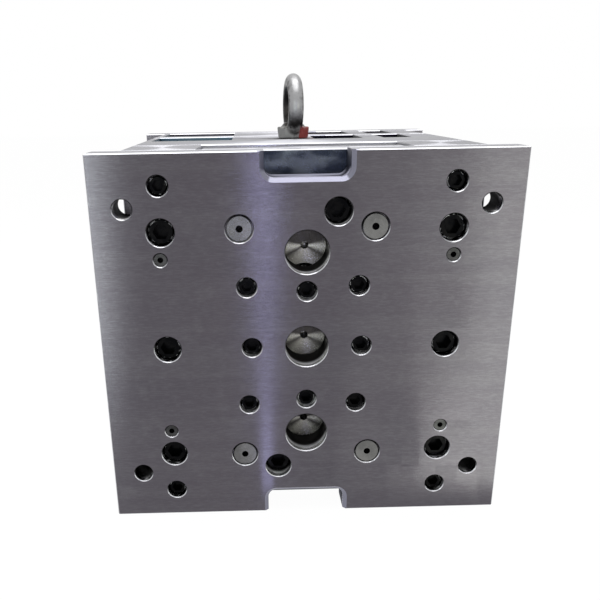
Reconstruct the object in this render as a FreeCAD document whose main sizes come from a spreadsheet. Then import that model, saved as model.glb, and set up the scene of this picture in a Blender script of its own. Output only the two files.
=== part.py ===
import FreeCAD, Part
import Sketcher
import math
import os

# Two-plate mould base standing on edge.
# X runs across the plates, Y along the opening stroke, Z is up.
# Every piece is drawn lying on the bench: its own Z points at the ejector side, and
# "level" is its height above the back of the fixed clamping plate.

SIZES = (
    ("plate_wide", 500), ("plate_tall", 465), ("clamp_ledge", 33),
    ("clamp_thick", 42), ("spacer_thick", 98), ("core_thick", 210), ("cavity_thick", 146),
    ("spacer_wide", 90), ("edge_break", 1.2), ("mouth_break", 1),
    # ejector set
    ("ejector_base_thick", 30), ("ejector_cover_thick", 24), ("ejector_side_gap", 3),
    ("ejector_end_gap", 2), ("stop_thick", 4), ("stop_disc_r", 10), ("stop_peg_r", 3),
    ("stop_peg_deep", 8), ("stop_from_side", 27), ("stop_inner_y", 60), ("stop_from_end", 17.5),
    # clamping screws, M20, through the spacers into the core plate
    ("clamp_screw_from_side", 47), ("clamp_screw_from_end", 89.5), ("big_screw_r", 10),
    ("big_head_r", 15), ("big_head_tall", 20), ("big_bore_r", 16.25), ("big_recess", 8),
    ("big_key", 17), ("big_grip", 38),
    # spacer and pillar screws, M14
    ("spacer_screw_from_side", 47), ("spacer_screw_from_end", 36.5), ("small_screw_r", 7),
    ("small_head_r", 10.5), ("small_head_tall", 14), ("small_bore_r", 12), ("small_recess", 7),
    ("small_key", 12), ("small_grip", 28),
    # ejector plate screws, M10
    ("ejector_screw_from_side", 19), ("ejector_screw_y", 100),
    ("plate_screw_r", 5), ("plate_head_r", 8), ("plate_head_tall", 10), ("plate_bore_r", 9),
    ("plate_recess", 1), ("plate_key", 8), ("plate_grip", 16),
    # support pillars
    ("pillar_r", 22.5), ("pillar_shift", -4.8), ("pillar_x", 67), ("pillar_y", 76), ("pillar_end_y", 70),
    ("end_pillar_x", 36), ("end_pillar_from_end", 68.5), ("end_screw_recess", 14),
    ("end_screw_grip", 32), ("pillar_gap", 2),
    # dowels, pins and bushes
    ("dowel_from_side", 45), ("dowel_from_end", 121.5), ("dowel_r", 8), ("dowel_deep", 72),
    ("dowel_tap_r", 3.4), ("dowel_tap_deep", 18), ("dowel_inset", 1.5),
    ("guide_x", 79), ("guide_from_end", 86.5), ("guide_r", 12.5), ("guide_head_r", 15),
    ("guide_head_tall", 10), ("guide_bore_r", 16.25), ("guide_inset", 0.6), ("guide_nose", 20),
    ("guide_tap_r", 4.2), ("guide_tap_deep", 24),
    ("guide_bush_r", 17.5), ("guide_collar_r", 20.5), ("guide_collar_tall", 6),
    ("leader_from_side", 37), ("leader_from_end", 42.5), ("leader_r", 18), ("leader_head_r", 23),
    ("leader_head_tall", 12), ("leader_reach", 128), ("leader_lead", 8),
    ("bush_r", 25), ("bush_collar_r", 28), ("bush_collar_tall", 10),
    ("return_from_side", 24), ("return_from_end", 37.5), ("return_r", 10), ("return_head_r", 14),
    ("return_head_tall", 8), ("spring_r", 20), ("spring_wire_wide", 8),
    ("spring_wire_tall", 5), ("spring_turns", 6),
    ("spring_pocket_r", 21), ("spring_pocket_deep", 40),
    # fits
    ("slide_gap", 0.05), ("press_gap", 0.01), ("thread_gap", 0.15), ("bolt_gap", 1),
    ("head_gap", 0.5), ("pin_gap", 0.5),
    # openings in the clamping plates
    ("knock_out_r", 26), ("knock_out_y", 117), ("knock_tap_r", 5), ("knock_tap_deep", 22),
    ("corner_hole_from_side", 38), ("corner_hole_from_end", 62), ("corner_hole_r", 11.5),
    ("notch_wide", 99), ("notch_deep", 30), ("notch_round", 11), ("notch_break", 5),
    # core and cavity plates
    ("insert_wide", 170), ("insert_tall", 230), ("insert_round", 16),
    ("core_pocket_deep", 60), ("cavity_pocket_deep", 55),
    ("recess_deep", 7), ("recess_core", 107), ("recess_cavity", 108),
    ("recess_from_side", 10), ("recess_a_to", -90), ("recess_b_from", 30), ("recess_b_to", 101),
    ("recess_c_from", 131), ("recess_c_to", 172),
    ("pry_wide", 26), ("pry_tall", 14), ("pry_deep", 6),
    # locating ring and sprue bush
    ("ring_r", 50), ("ring_spigot_r", 45), ("ring_bore_r", 18), ("ring_thick", 15), ("ring_sunk", 5), ("ring_cone", 8),
    ("ring_screw_at", 36), ("ring_screw_r", 4), ("ring_head_r", 6.5), ("ring_head_tall", 8),
    ("ring_key", 6), ("ring_grip", 14),
    ("ring_relief_gap", 0.5), ("ring_relief_deep", 0.6),
    ("sprue_head_r", 20), ("sprue_head_tall", 14), ("sprue_r", 11), ("sprue_in_r", 2.5),
    ("sprue_out_r", 5), ("sprue_seat_r", 10), ("sprue_seat_deep", 4),
    # lifting eye bolt, M24
    ("eye_level", 273), ("eye_turn", 6), ("eye_screw_r", 12), ("eye_screw_long", 36),
    ("eye_collar_r", 25), ("eye_collar_tall", 8), ("eye_neck_r", 15), ("eye_neck_tall", 18),
    ("eye_ring_r", 35), ("eye_bar_r", 10),
)

# Sizes worked out from the ones above, as sheet formulas.
DERIVED = (
    ("body_wide", "plate_wide - 2 * clamp_ledge"),
    ("mid_tall", "plate_tall / 2"),
    ("core_level", "clamp_thick + cavity_thick"),
    ("spacer_level", "core_level + core_thick"),
    ("clamp_level", "spacer_level + spacer_thick"),
    ("stack", "clamp_level + clamp_thick"),
    ("ring_out", "ring_thick - ring_sunk"),
    ("rear_y", "(stack - ring_out) / 2"),
    ("ejector_base_level", "clamp_level - stop_thick - ejector_base_thick"),
    ("ejector_cover_level", "ejector_base_level - ejector_cover_thick"),
    ("spacer_inner_x", "body_wide / 2 - spacer_wide"),
    ("ejector_wide", "2 * (spacer_inner_x - ejector_side_gap)"),
    ("ejector_tall", "plate_tall - 2 * ejector_end_gap"),
    ("big_seat_level", "stack - big_recess - big_head_tall"),
    ("small_seat_level", "stack - small_recess - small_head_tall"),
    ("end_seat_level", "stack - end_screw_recess - big_head_tall"),
    ("rear_seat_level", "big_recess + big_head_tall"),
    ("clamp_screw_x", "body_wide / 2 - clamp_screw_from_side"),
    ("clamp_screw_y", "mid_tall - clamp_screw_from_end"),
    ("spacer_screw_x", "body_wide / 2 - spacer_screw_from_side"),
    ("spacer_screw_y", "mid_tall - spacer_screw_from_end"),
    ("dowel_x", "body_wide / 2 - dowel_from_side"),
    ("dowel_y", "mid_tall - dowel_from_end"),
    ("leader_x", "body_wide / 2 - leader_from_side"),
    ("leader_y", "mid_tall - leader_from_end"),
    ("return_x", "spacer_inner_x - return_from_side"),
    ("return_y", "mid_tall - return_from_end"),
    ("stop_x", "spacer_inner_x - stop_from_side"),
    ("stop_outer_y", "mid_tall - stop_from_end"),
    ("ejector_screw_x", "spacer_inner_x - ejector_screw_from_side"),
    ("guide_y", "mid_tall - guide_from_end"),
    ("end_pillar_y", "mid_tall - end_pillar_from_end"),
    ("corner_hole_x", "plate_wide / 2 - corner_hole_from_side"),
    ("corner_hole_y", "mid_tall - corner_hole_from_end"),
    ("recess_a_from", "recess_from_side - body_wide / 2"),
)

CORNERS = ((-1, 1), (1, 1), (-1, -1), (1, -1))
SIDES = ((-1, 0), (1, 0))
ENDS = ((0, 1), (0, -1))
MIDDLE = ((0, 0),)
DIAGONAL = ((1, 1), (-1, -1))

doc = FreeCAD.newDocument("MouldBase")
sheet = doc.addObject("Spreadsheet::Sheet", "Sizes")


def fill_sheet():
    for row, (alias, value) in enumerate(SIZES, start=1):
        sheet.set("A%d" % row, alias)
        sheet.set("B%d" % row, str(value))
        sheet.setAlias("B%d" % row, alias)
    for row, (alias, formula) in enumerate(DERIVED, start=len(SIZES) + 1):
        sheet.set("A%d" % row, alias)
        sheet.set("B%d" % row, "=" + formula)
        sheet.setAlias("B%d" % row, alias)
        doc.recompute()


def size(expression):
    """The present value of a sheet expression, for a first guess at a sketch."""
    value = sheet.evalExpression(expression)
    return float(getattr(value, "Value", value))


def of_sheet(expression):
    """Writes plain aliases as references to the sheet."""
    words = [alias for alias, _ in SIZES + DERIVED]
    out = ""
    word = ""
    for letter in expression + " ":
        if letter.isalnum() or letter == "_":
            word += letter
            continue
        out += "Sizes." + word if word in words else word
        out += letter
        word = ""
    return out.strip()


def spots(x, y, signs):
    """Centres of a hole pattern, as a list of expression pairs."""
    return [("%d * (%s)" % (sx, x), "%d * (%s)" % (sy, y)) for sx, sy in signs]


CLAMP_SCREWS = spots("clamp_screw_x", "clamp_screw_y", CORNERS + SIDES)
SPACER_SCREWS = spots("spacer_screw_x", "spacer_screw_y", CORNERS)
PILLARS = ([("pillar_shift + %s" % x, y) for x, y in spots("pillar_x", "pillar_y", CORNERS)]
           + spots("pillar_x", "pillar_y", SIDES) + spots("pillar_x", "pillar_end_y", ENDS))
END_PILLARS = spots("end_pillar_x", "end_pillar_y", DIAGONAL)
DOWELS = spots("dowel_x", "dowel_y", CORNERS)
GUIDES = spots("guide_x", "guide_y", CORNERS)
LEADERS = spots("leader_x", "leader_y", CORNERS)
RETURNS = spots("return_x", "return_y", CORNERS)
KNOCK_OUTS = spots("knock_out_y", "knock_out_y", MIDDLE + ENDS)
CORNER_HOLES = spots("corner_hole_x", "corner_hole_y", CORNERS)
EJECTOR_SCREWS = spots("ejector_screw_x", "ejector_screw_y", CORNERS + SIDES)
STOPS = spots("stop_x", "stop_inner_y", CORNERS) + spots("stop_x", "stop_outer_y", CORNERS)
RING_SCREWS = spots("ring_screw_at", "ring_screw_at", SIDES + ENDS)
CENTRE = [("0", "0")]


# ---------------------------------------------------------------- sketch helpers

def origin_plane(body, role):
    return [item for item in body.Origin.OriginFeatures if item.Role == role][0]


def new_sketch(body, name, role="XY_Plane", offset=None):
    sketch = body.newObject("Sketcher::SketchObject", name)
    sketch.AttachmentSupport = [(origin_plane(body, role), "")]
    sketch.MapMode = "FlatFace"
    if offset is not None:
        sketch.setExpression("AttachmentOffset.Base.z", of_sheet(offset))
    return sketch


def bind(sketch, kind, where, expression):
    """Adds one dimension and ties it to the sheet."""
    index = sketch.addConstraint(Sketcher.Constraint(kind, *where, size(of_sheet(expression))))
    label = "%s%d" % (kind, index)
    sketch.renameConstraint(index, label)
    sketch.setExpression("Constraints." + label, of_sheet(expression))


def draw_rectangle(sketch, left, right, low, high):
    """A rectangle between four sheet expressions."""
    x1, x2, y1, y2 = [size(of_sheet(edge)) for edge in (left, right, low, high)]
    corners = ((x1, y1), (x2, y1), (x2, y2), (x1, y2))
    first = sketch.GeometryCount
    for index, start in enumerate(corners):
        end = corners[(index + 1) % 4]
        sketch.addGeometry(Part.LineSegment(FreeCAD.Vector(*start, 0), FreeCAD.Vector(*end, 0)))
    for index in range(4):
        sketch.addConstraint(Sketcher.Constraint(
            "Coincident", first + index, 2, first + (index + 1) % 4, 1))
        direction = "Horizontal" if index % 2 == 0 else "Vertical"
        sketch.addConstraint(Sketcher.Constraint(direction, first + index))
    bind(sketch, "DistanceX", (-1, 1, first, 1), left)
    bind(sketch, "DistanceX", (-1, 1, first + 1, 1), right)
    bind(sketch, "DistanceY", (-1, 1, first, 1), low)
    bind(sketch, "DistanceY", (-1, 1, first + 2, 1), high)


def draw_rounded(sketch, left, right, low, high, radius):
    """A rectangle with four equal round corners."""
    x1, x2, y1, y2, r = [size(of_sheet(edge)) for edge in (left, right, low, high, radius)]
    vector = FreeCAD.Vector
    sides = (((x1 + r, y1), (x2 - r, y1)), ((x2, y1 + r), (x2, y2 - r)),
             ((x2 - r, y2), (x1 + r, y2)), ((x1, y2 - r), (x1, y1 + r)))
    centres = ((x2 - r, y1 + r), (x2 - r, y2 - r), (x1 + r, y2 - r), (x1 + r, y1 + r))
    for index in range(4):
        start, end = sides[index]
        sketch.addGeometry(Part.LineSegment(vector(*start, 0), vector(*end, 0)))
        circle = Part.Circle(vector(*centres[index], 0), vector(0, 0, 1), r)
        turn = math.radians(90 * (index - 1))
        sketch.addGeometry(Part.ArcOfCircle(circle, turn, turn + math.pi / 2))
    for index in range(4):
        line, arc = 2 * index, 2 * index + 1
        following = (2 * index + 2) % 8
        sketch.addConstraint(Sketcher.Constraint("Tangent", line, 2, arc, 1))
        sketch.addConstraint(Sketcher.Constraint("Tangent", arc, 2, following, 1))
        direction = "Horizontal" if index % 2 == 0 else "Vertical"
        sketch.addConstraint(Sketcher.Constraint(direction, line))
        if index:
            sketch.addConstraint(Sketcher.Constraint("Equal", 1, arc))
    bind(sketch, "Radius", (1,), radius)
    bind(sketch, "DistanceX", (-1, 1, 6, 1), left)
    bind(sketch, "DistanceX", (-1, 1, 2, 1), right)
    bind(sketch, "DistanceY", (-1, 1, 0, 1), low)
    bind(sketch, "DistanceY", (-1, 1, 4, 1), high)


def draw_circles(sketch, places, radius):
    for x, y in places:
        centre = FreeCAD.Vector(size(of_sheet(x)), size(of_sheet(y)), 0)
        circle = sketch.addGeometry(
            Part.Circle(centre, FreeCAD.Vector(0, 0, 1), size(of_sheet(radius))))
        bind(sketch, "Radius", (circle,), radius)
        bind(sketch, "DistanceX", (-1, 1, circle, 3), x)
        bind(sketch, "DistanceY", (-1, 1, circle, 3), y)


def draw_outline(sketch, points):
    """A closed outline of straight sides whose corners are sheet expressions."""
    places = [(size(of_sheet(x)), size(of_sheet(y))) for x, y in points]
    count = len(points)
    for index, start in enumerate(places):
        end = places[(index + 1) % count]
        sketch.addGeometry(Part.LineSegment(FreeCAD.Vector(*start, 0), FreeCAD.Vector(*end, 0)))
    for index in range(count):
        sketch.addConstraint(Sketcher.Constraint("Coincident", index, 2, (index + 1) % count, 1))
    for index, (x, y) in enumerate(points):
        bind(sketch, "DistanceX", (-1, 1, index, 1), x)
        bind(sketch, "DistanceY", (-1, 1, index, 1), y)


# ---------------------------------------------------------------- feature helpers

def pad(body, sketch, length):
    feature = body.newObject("PartDesign::Pad", sketch.Name + "Pad")
    feature.Profile = sketch
    feature.setExpression("Length", of_sheet(length))
    doc.recompute()
    return feature


def cut(body, sketch, depth=None, upward=False):
    """A pocket from the sketch plane, down through the piece unless a depth is given."""
    before = body.Shape.Volume
    feature = body.newObject("PartDesign::Pocket", sketch.Name + "Cut")
    feature.Profile = sketch
    feature.Reversed = upward
    if depth is None:
        feature.Type = "ThroughAll"
    else:
        feature.setExpression("Length", of_sheet(depth))
    doc.recompute()
    if body.Shape.Volume >= before - 0.1:
        raise RuntimeError(sketch.Name + " cuts nothing")
    return feature


def drill(body, name, places, radius, top, depth=None):
    """Round holes that start at height top of the piece and go down."""
    sketch = new_sketch(body, name, offset=top)
    draw_circles(sketch, places, radius)
    return cut(body, sketch, depth)


def drill_from_below(body, name, places, radius, depth):
    sketch = new_sketch(body, name)
    draw_circles(sketch, places, radius)
    return cut(body, sketch, depth, upward=True)


def break_edges(body, name, amount, wanted):
    """Chamfers the edges of the piece that the function wanted picks."""
    base = body.Tip
    names = ["Edge%d" % (index + 1) for index, edge in enumerate(base.Shape.Edges) if wanted(edge)]
    feature = body.newObject("PartDesign::Chamfer", name)
    feature.Base = (base, names)
    feature.setExpression("Size", of_sheet(amount))
    doc.recompute()
    return feature


def place(item, level, x="0", y="0"):
    """Stands the piece on edge, with its own Z towards the ejector side."""
    item.Placement = FreeCAD.Placement(
        FreeCAD.Vector(0, 0, 0), FreeCAD.Rotation(FreeCAD.Vector(1, 0, 0), 90))
    item.setExpression("Placement.Base.x", of_sheet(x))
    item.setExpression("Placement.Base.y", of_sheet("rear_y - (%s)" % level))
    item.setExpression("Placement.Base.z", of_sheet("mid_tall + (%s)" % y))


def new_body(label, level=None):
    body = doc.addObject("PartDesign::Body", label)
    body.Label = label
    if level is not None:
        place(body, level)
    return body


def new_plate(label, level, wide, tall, thick, left=None):
    """A ground plate with broken outer edges. Its middle is on the axis unless left is given."""
    body = new_body(label, level)
    sketch = new_sketch(body, label + "Outline")
    if left is None:
        draw_rectangle(sketch, "-(%s) / 2" % wide, "(%s) / 2" % wide,
                       "-(%s) / 2" % tall, "(%s) / 2" % tall)
    else:
        draw_rectangle(sketch, left, "(%s) + (%s)" % (left, wide),
                       "-(%s) / 2" % tall, "(%s) / 2" % tall)
    pad(body, sketch, thick)
    break_edges(body, label + "Edges", "edge_break", lambda edge: True)
    return body


def turned(label, points):
    """A turned piece: a half section in the XZ plane, swept about Z."""
    body = new_body(label)
    sketch = new_sketch(body, label + "Section", role="XZ_Plane")
    draw_outline(sketch, points)
    feature = body.newObject("PartDesign::Revolution", label + "Turned")
    feature.Profile = sketch
    feature.ReferenceAxis = (sketch, ["V_Axis"])
    feature.Angle = 360
    doc.recompute()
    return body


def cap_screw(label, radius, head_r, head_tall, long, key):
    """A hexagon socket cap screw. Its head sits on Z = 0 and its shank points down."""
    tip = "%s * 0.15" % radius
    body = turned(label, (
        ("0", "-(%s)" % long), ("%s - %s" % (radius, tip), "-(%s)" % long),
        (radius, "-(%s) + %s" % (long, tip)), (radius, "0"), (head_r, "0"),
        (head_r, "%s - %s" % (head_tall, tip)), ("%s - %s" % (head_r, tip), head_tall),
        ("0", head_tall)))
    sketch = new_sketch(body, label + "Socket", offset=head_tall)
    corner = size(of_sheet(key)) / math.sqrt(3)
    turns = [math.radians(60 * step) for step in range(6)]
    hexagon = [FreeCAD.Vector(corner * math.cos(a), corner * math.sin(a), 0) for a in turns]
    for index in range(6):
        sketch.addGeometry(Part.LineSegment(hexagon[index], hexagon[(index + 1) % 6]))
    guide = sketch.addGeometry(
        Part.Circle(FreeCAD.Vector(0, 0, 0), FreeCAD.Vector(0, 0, 1), corner), True)
    for index in range(6):
        sketch.addConstraint(Sketcher.Constraint("Coincident", index, 2, (index + 1) % 6, 1))
        sketch.addConstraint(Sketcher.Constraint("PointOnObject", index, 1, guide))
        if index:
            sketch.addConstraint(Sketcher.Constraint("Equal", 0, index))
    sketch.addConstraint(Sketcher.Constraint("Coincident", guide, 3, -1, 1))
    sketch.addConstraint(Sketcher.Constraint("PointOnObject", 0, 1, -1))
    bind(sketch, "Radius", (guide,), "%s / sqrt(3)" % key)
    cut(body, sketch, "%s * 0.55" % head_tall)
    return body


def group(label, pattern, places, level, turned_over=False):
    """One node of equal pieces: a copy of the pattern piece at each place."""
    copies = []
    for index, (x, y) in enumerate(places, start=1):
        copy = doc.addObject("App::Link", "%s_%d" % (label, index))
        copy.LinkedObject = pattern
        place(copy, level, x, y)
        if turned_over:
            copy.Placement = FreeCAD.Placement(
                copy.Placement.Base, FreeCAD.Rotation(FreeCAD.Vector(1, 0, 0), -90))
        copies.append(copy)
    compound = doc.addObject("Part::Compound", label)
    compound.Label = label
    compound.Links = copies
    return compound


# ---------------------------------------------------------------- edge pickers

def round_edge_at(height):
    """Picks full circles that lie at this height of the piece."""
    def wanted(edge):
        circle = isinstance(edge.Curve, Part.Circle) and edge.isClosed()
        return circle and abs(edge.BoundBox.ZMax - height) < 0.01 and edge.BoundBox.ZLength < 0.01
    return wanted


def notch_edge_at(height, half_wide, floor):
    """Picks the notch's rim: edges at this height, near the middle, beyond the notch floors."""
    def wanted(edge):
        box = edge.BoundBox
        flat = abs(box.ZMax - height) < 0.01 and box.ZLength < 0.01
        inside = box.XMin > -half_wide - 0.1 and box.XMax < half_wide + 0.1
        beyond = min(abs(box.YMin), abs(box.YMax)) > floor - 0.1
        hole = isinstance(edge.Curve, Part.Circle) and edge.isClosed()
        return flat and inside and beyond and not hole
    return wanted


# ---------------------------------------------------------------- plates

def make_bottom_clamp_plate():
    plate = new_plate("bottom_clamp_plate", "clamp_level", "plate_wide", "plate_tall",
                      "clamp_thick")
    drill(plate, "KnockOuts", KNOCK_OUTS, "knock_out_r", "clamp_thick")
    drill(plate, "CornerHoles", CORNER_HOLES, "corner_hole_r", "clamp_thick")
    drill(plate, "ClampBores", CLAMP_SCREWS, "big_bore_r", "clamp_thick",
          "big_recess + big_head_tall")
    drill(plate, "EndBores", END_PILLARS, "big_bore_r", "clamp_thick",
          "end_screw_recess + big_head_tall")
    drill(plate, "BigShanks", CLAMP_SCREWS + END_PILLARS, "big_screw_r + bolt_gap", "clamp_thick")
    drill(plate, "SmallBores", SPACER_SCREWS + PILLARS, "small_bore_r", "clamp_thick",
          "small_recess + small_head_tall")
    drill(plate, "SmallShanks", SPACER_SCREWS + PILLARS, "small_screw_r + bolt_gap",
          "clamp_thick")
    drill(plate, "GuideBores", GUIDES, "guide_bore_r", "clamp_thick",
          "guide_inset + guide_head_tall")
    drill(plate, "GuideShanks", GUIDES, "guide_r + press_gap", "clamp_thick")
    drill(plate, "DowelHoles", DOWELS, "dowel_r + press_gap", "clamp_thick")
    front = size(of_sheet("clamp_thick"))
    break_edges(plate, "Mouths", "mouth_break", round_edge_at(front))
    drill_from_below(plate, "StopHoles", STOPS, "stop_peg_r + press_gap",
                     "stop_peg_deep + head_gap")
    for side, name in ((1, "TopNotch"), (-1, "LowNotch")):
        sketch = new_sketch(plate, name, offset="clamp_thick")
        floor = "%d * (mid_tall - notch_deep)" % side
        outside = "%d * (mid_tall + notch_round * 2)" % side
        low, high = (floor, outside) if side > 0 else (outside, floor)
        draw_rounded(sketch, "-notch_wide / 2", "notch_wide / 2", low, high, "notch_round")
        cut(plate, sketch)
    half_wide = size(of_sheet("notch_wide / 2"))
    floor = size(of_sheet("mid_tall - notch_deep"))
    break_edges(plate, "NotchRims", "notch_break", notch_edge_at(front, half_wide, floor))


def make_spacer_blocks():
    for side, label in ((-1, "left_spacer_block"), (1, "right_spacer_block")):
        left = "-body_wide / 2" if side < 0 else "spacer_inner_x"
        block = new_plate(label, "spacer_level", "spacer_wide", "plate_tall", "spacer_thick",
                          left=left)
        mine = [place_ for place_ in CLAMP_SCREWS if size(of_sheet(place_[0])) * side > 0]
        drill(block, label + "Bolts", mine, "big_screw_r + bolt_gap", "spacer_thick")
        mine = [place_ for place_ in SPACER_SCREWS if size(of_sheet(place_[0])) * side > 0]
        drill(block, label + "Taps", mine, "small_screw_r + thread_gap", "spacer_thick",
              "small_grip + 4 * bolt_gap")
        mine = [place_ for place_ in DOWELS if size(of_sheet(place_[0])) * side > 0]
        drill(block, label + "Dowels", mine, "dowel_r + press_gap", "spacer_thick",
              "dowel_deep - clamp_thick + dowel_inset + bolt_gap")


def cut_recesses(plate, name, top, depth, upward=False):
    """The open recesses along the plate's top edge, for hose fittings and locks."""
    for letter in "abc":
        sketch = new_sketch(plate, name + letter.upper(), offset=top)
        draw_rectangle(sketch, "recess_%s_from" % letter, "recess_%s_to" % letter,
                       "mid_tall - recess_deep", "mid_tall + recess_deep")
        cut(plate, sketch, depth, upward)


def make_core_plate():
    plate = new_plate("core_plate", "core_level", "body_wide", "plate_tall", "core_thick")
    drill(plate, "ClampTaps", CLAMP_SCREWS, "big_screw_r + thread_gap", "core_thick",
          "big_grip + 4 * bolt_gap")
    drill(plate, "GuideNoses", GUIDES, "guide_r + slide_gap", "core_thick",
          "guide_nose + bolt_gap")
    drill(plate, "LeaderHeads", LEADERS, "leader_head_r + head_gap", "core_thick",
          "leader_head_tall")
    drill(plate, "LeaderShanks", LEADERS, "leader_r + press_gap", "core_thick")
    drill(plate, "SpringPockets", RETURNS, "spring_pocket_r", "core_thick",
          "spring_pocket_deep")
    drill(plate, "ReturnShanks", RETURNS, "return_r + slide_gap", "core_thick")
    sketch = new_sketch(plate, "CoreInsert")
    draw_rounded(sketch, "-insert_wide / 2", "insert_wide / 2", "-insert_tall / 2",
                 "insert_tall / 2", "insert_round")
    cut(plate, sketch, "core_pocket_deep", upward=True)
    cut_recesses(plate, "CoreRecess", "0", "recess_core", upward=True)
    for index, (sx, sy) in enumerate(CORNERS):
        sketch = new_sketch(plate, "Pry%d" % index)
        edges_x = sorted(("%d * body_wide / 2" % sx, "%d * (body_wide / 2 - pry_wide)" % sx),
                         key=lambda text: size(of_sheet(text)))
        edges_y = sorted(("%d * mid_tall" % sy, "%d * (mid_tall - pry_tall)" % sy),
                         key=lambda text: size(of_sheet(text)))
        draw_rectangle(sketch, *edges_x, *edges_y)
        cut(plate, sketch, "pry_deep", upward=True)
    # The tapped hole for the eye bolt goes down from the top edge.
    sketch = new_sketch(plate, "EyeTap", role="XZ_Plane", offset="-mid_tall")
    draw_circles(sketch, [("0", "eye_level - core_level")], "eye_screw_r + thread_gap")
    cut(plate, sketch, "eye_screw_long + 4 * bolt_gap", upward=True)


def make_cavity_plate():
    plate = new_plate("cavity_plate", "clamp_thick", "body_wide", "plate_tall", "cavity_thick")
    drill(plate, "BushBores", LEADERS, "bush_r + press_gap", "cavity_thick")
    drill_from_below(plate, "BushCollars", LEADERS, "bush_collar_r + head_gap",
                     "bush_collar_tall")
    drill_from_below(plate, "CavityTaps", CLAMP_SCREWS, "big_screw_r + thread_gap",
                     "big_grip + 4 * bolt_gap")
    drill(plate, "SprueBore", CENTRE, "sprue_r + press_gap", "cavity_thick")
    sketch = new_sketch(plate, "CavityInsert", offset="cavity_thick")
    draw_rounded(sketch, "-insert_wide / 2", "insert_wide / 2", "-insert_tall / 2",
                 "insert_tall / 2", "insert_round")
    cut(plate, sketch, "cavity_pocket_deep")
    cut_recesses(plate, "CavityRecess", "0", "recess_cavity", upward=True)


def make_top_clamp_plate():
    plate = new_plate("top_clamp_plate", "0", "plate_wide", "plate_tall", "clamp_thick")
    drill(plate, "RearShanks", CLAMP_SCREWS, "big_screw_r + bolt_gap", "clamp_thick")
    drill_from_below(plate, "RearBores", CLAMP_SCREWS, "big_bore_r",
                     "big_recess + big_head_tall")
    drill(plate, "SprueHead", CENTRE, "sprue_head_r + head_gap", "clamp_thick")
    drill_from_below(plate, "RingRelief", CENTRE, "ring_r + ring_relief_gap",
                     "ring_relief_deep")
    drill_from_below(plate, "RingSeat", CENTRE, "ring_spigot_r + press_gap", "ring_sunk")
    drill_from_below(plate, "RingTaps", RING_SCREWS, "ring_screw_r + thread_gap",
                     "ring_sunk + ring_grip + 4 * bolt_gap")


def make_ejector_plates():
    base = new_plate("ejector_base_plate", "ejector_base_level", "ejector_wide",
                     "ejector_tall", "ejector_base_thick")
    cover = new_plate("ejector_retainer_plate", "ejector_cover_level", "ejector_wide",
                      "ejector_tall", "ejector_cover_thick")
    for plate, thick, tag in ((base, "ejector_base_thick", "Base"),
                              (cover, "ejector_cover_thick", "Cover")):
        drill(plate, tag + "Pillars", PILLARS + END_PILLARS, "pillar_r + pillar_gap", thick)
        drill(plate, tag + "Bushes", GUIDES, "guide_bush_r + press_gap", thick)
    drill_from_below(base, "BaseCollars", GUIDES, "guide_collar_r + head_gap",
                     "guide_collar_tall")
    drill(base, "BaseScrewBores", EJECTOR_SCREWS, "plate_bore_r", "ejector_base_thick",
          "plate_recess + plate_head_tall")
    drill(base, "BaseShanks", EJECTOR_SCREWS, "plate_screw_r + head_gap", "ejector_base_thick")
    drill(base, "KnockTaps", KNOCK_OUTS, "knock_tap_r", "ejector_base_thick",
          "knock_tap_deep")
    drill(cover, "CoverTaps", EJECTOR_SCREWS, "plate_screw_r + thread_gap",
          "ejector_cover_thick")
    drill(cover, "CoverReturns", RETURNS, "return_r + pin_gap", "ejector_cover_thick")
    drill(cover, "CoverHeads", RETURNS, "return_head_r + head_gap", "ejector_cover_thick",
          "return_head_tall")


# ---------------------------------------------------------------- screws

def make_screws():
    through = "big_seat_level - spacer_level + big_grip"
    long_screw = cap_screw("M20Long", "big_screw_r", "big_head_r", "big_head_tall", through,
                           "big_key")
    group("clamp_screws", long_screw, CLAMP_SCREWS, "big_seat_level")
    small = cap_screw("M14", "small_screw_r", "small_head_r", "small_head_tall",
                      "small_seat_level - clamp_level + small_grip", "small_key")
    group("spacer_screws", small, SPACER_SCREWS, "small_seat_level")
    group("pillar_screws", small, PILLARS, "small_seat_level")
    short = cap_screw("M20Short", "big_screw_r", "big_head_r", "big_head_tall",
                      "end_seat_level - clamp_level + end_screw_grip", "big_key")
    group("end_pillar_screws", short, END_PILLARS, "end_seat_level")
    rear = cap_screw("M20Rear", "big_screw_r", "big_head_r", "big_head_tall",
                     "clamp_thick - rear_seat_level + big_grip", "big_key")
    group("top_clamp_screws", rear, CLAMP_SCREWS, "rear_seat_level", turned_over=True)
    plate = cap_screw("M10", "plate_screw_r", "plate_head_r", "plate_head_tall",
                      "ejector_base_thick - plate_recess - plate_head_tall + plate_grip",
                      "plate_key")
    group("ejector_plate_screws", plate, EJECTOR_SCREWS,
          "clamp_level - stop_thick - plate_recess - plate_head_tall")
    ring = cap_screw("M8", "ring_screw_r", "ring_head_r", "ring_head_tall",
                     "ring_sunk + ring_grip", "ring_key")
    group("locating_ring_screws", ring, RING_SCREWS, "0", turned_over=True)


# ---------------------------------------------------------------- pins, bushes, pillars

def make_pillars():
    bolts = (("PillarStock", "small_screw_r", "small_grip", "support_pillars", PILLARS),
             ("EndPillarStock", "big_screw_r", "end_screw_grip", "end_support_pillars",
              END_PILLARS))
    for name, screw_r, grip, label, places in bolts:
        tap_r = "%s + thread_gap" % screw_r
        floor = "spacer_thick - %s - 4 * bolt_gap" % grip
        stock = turned(name, (
            ("0", "0"), ("pillar_r - edge_break", "0"), ("pillar_r", "edge_break"),
            ("pillar_r", "spacer_thick - edge_break"), ("pillar_r - edge_break", "spacer_thick"),
            (tap_r, "spacer_thick"), (tap_r, floor), ("0", floor)))
        group(label, stock, places, "spacer_level")


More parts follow.
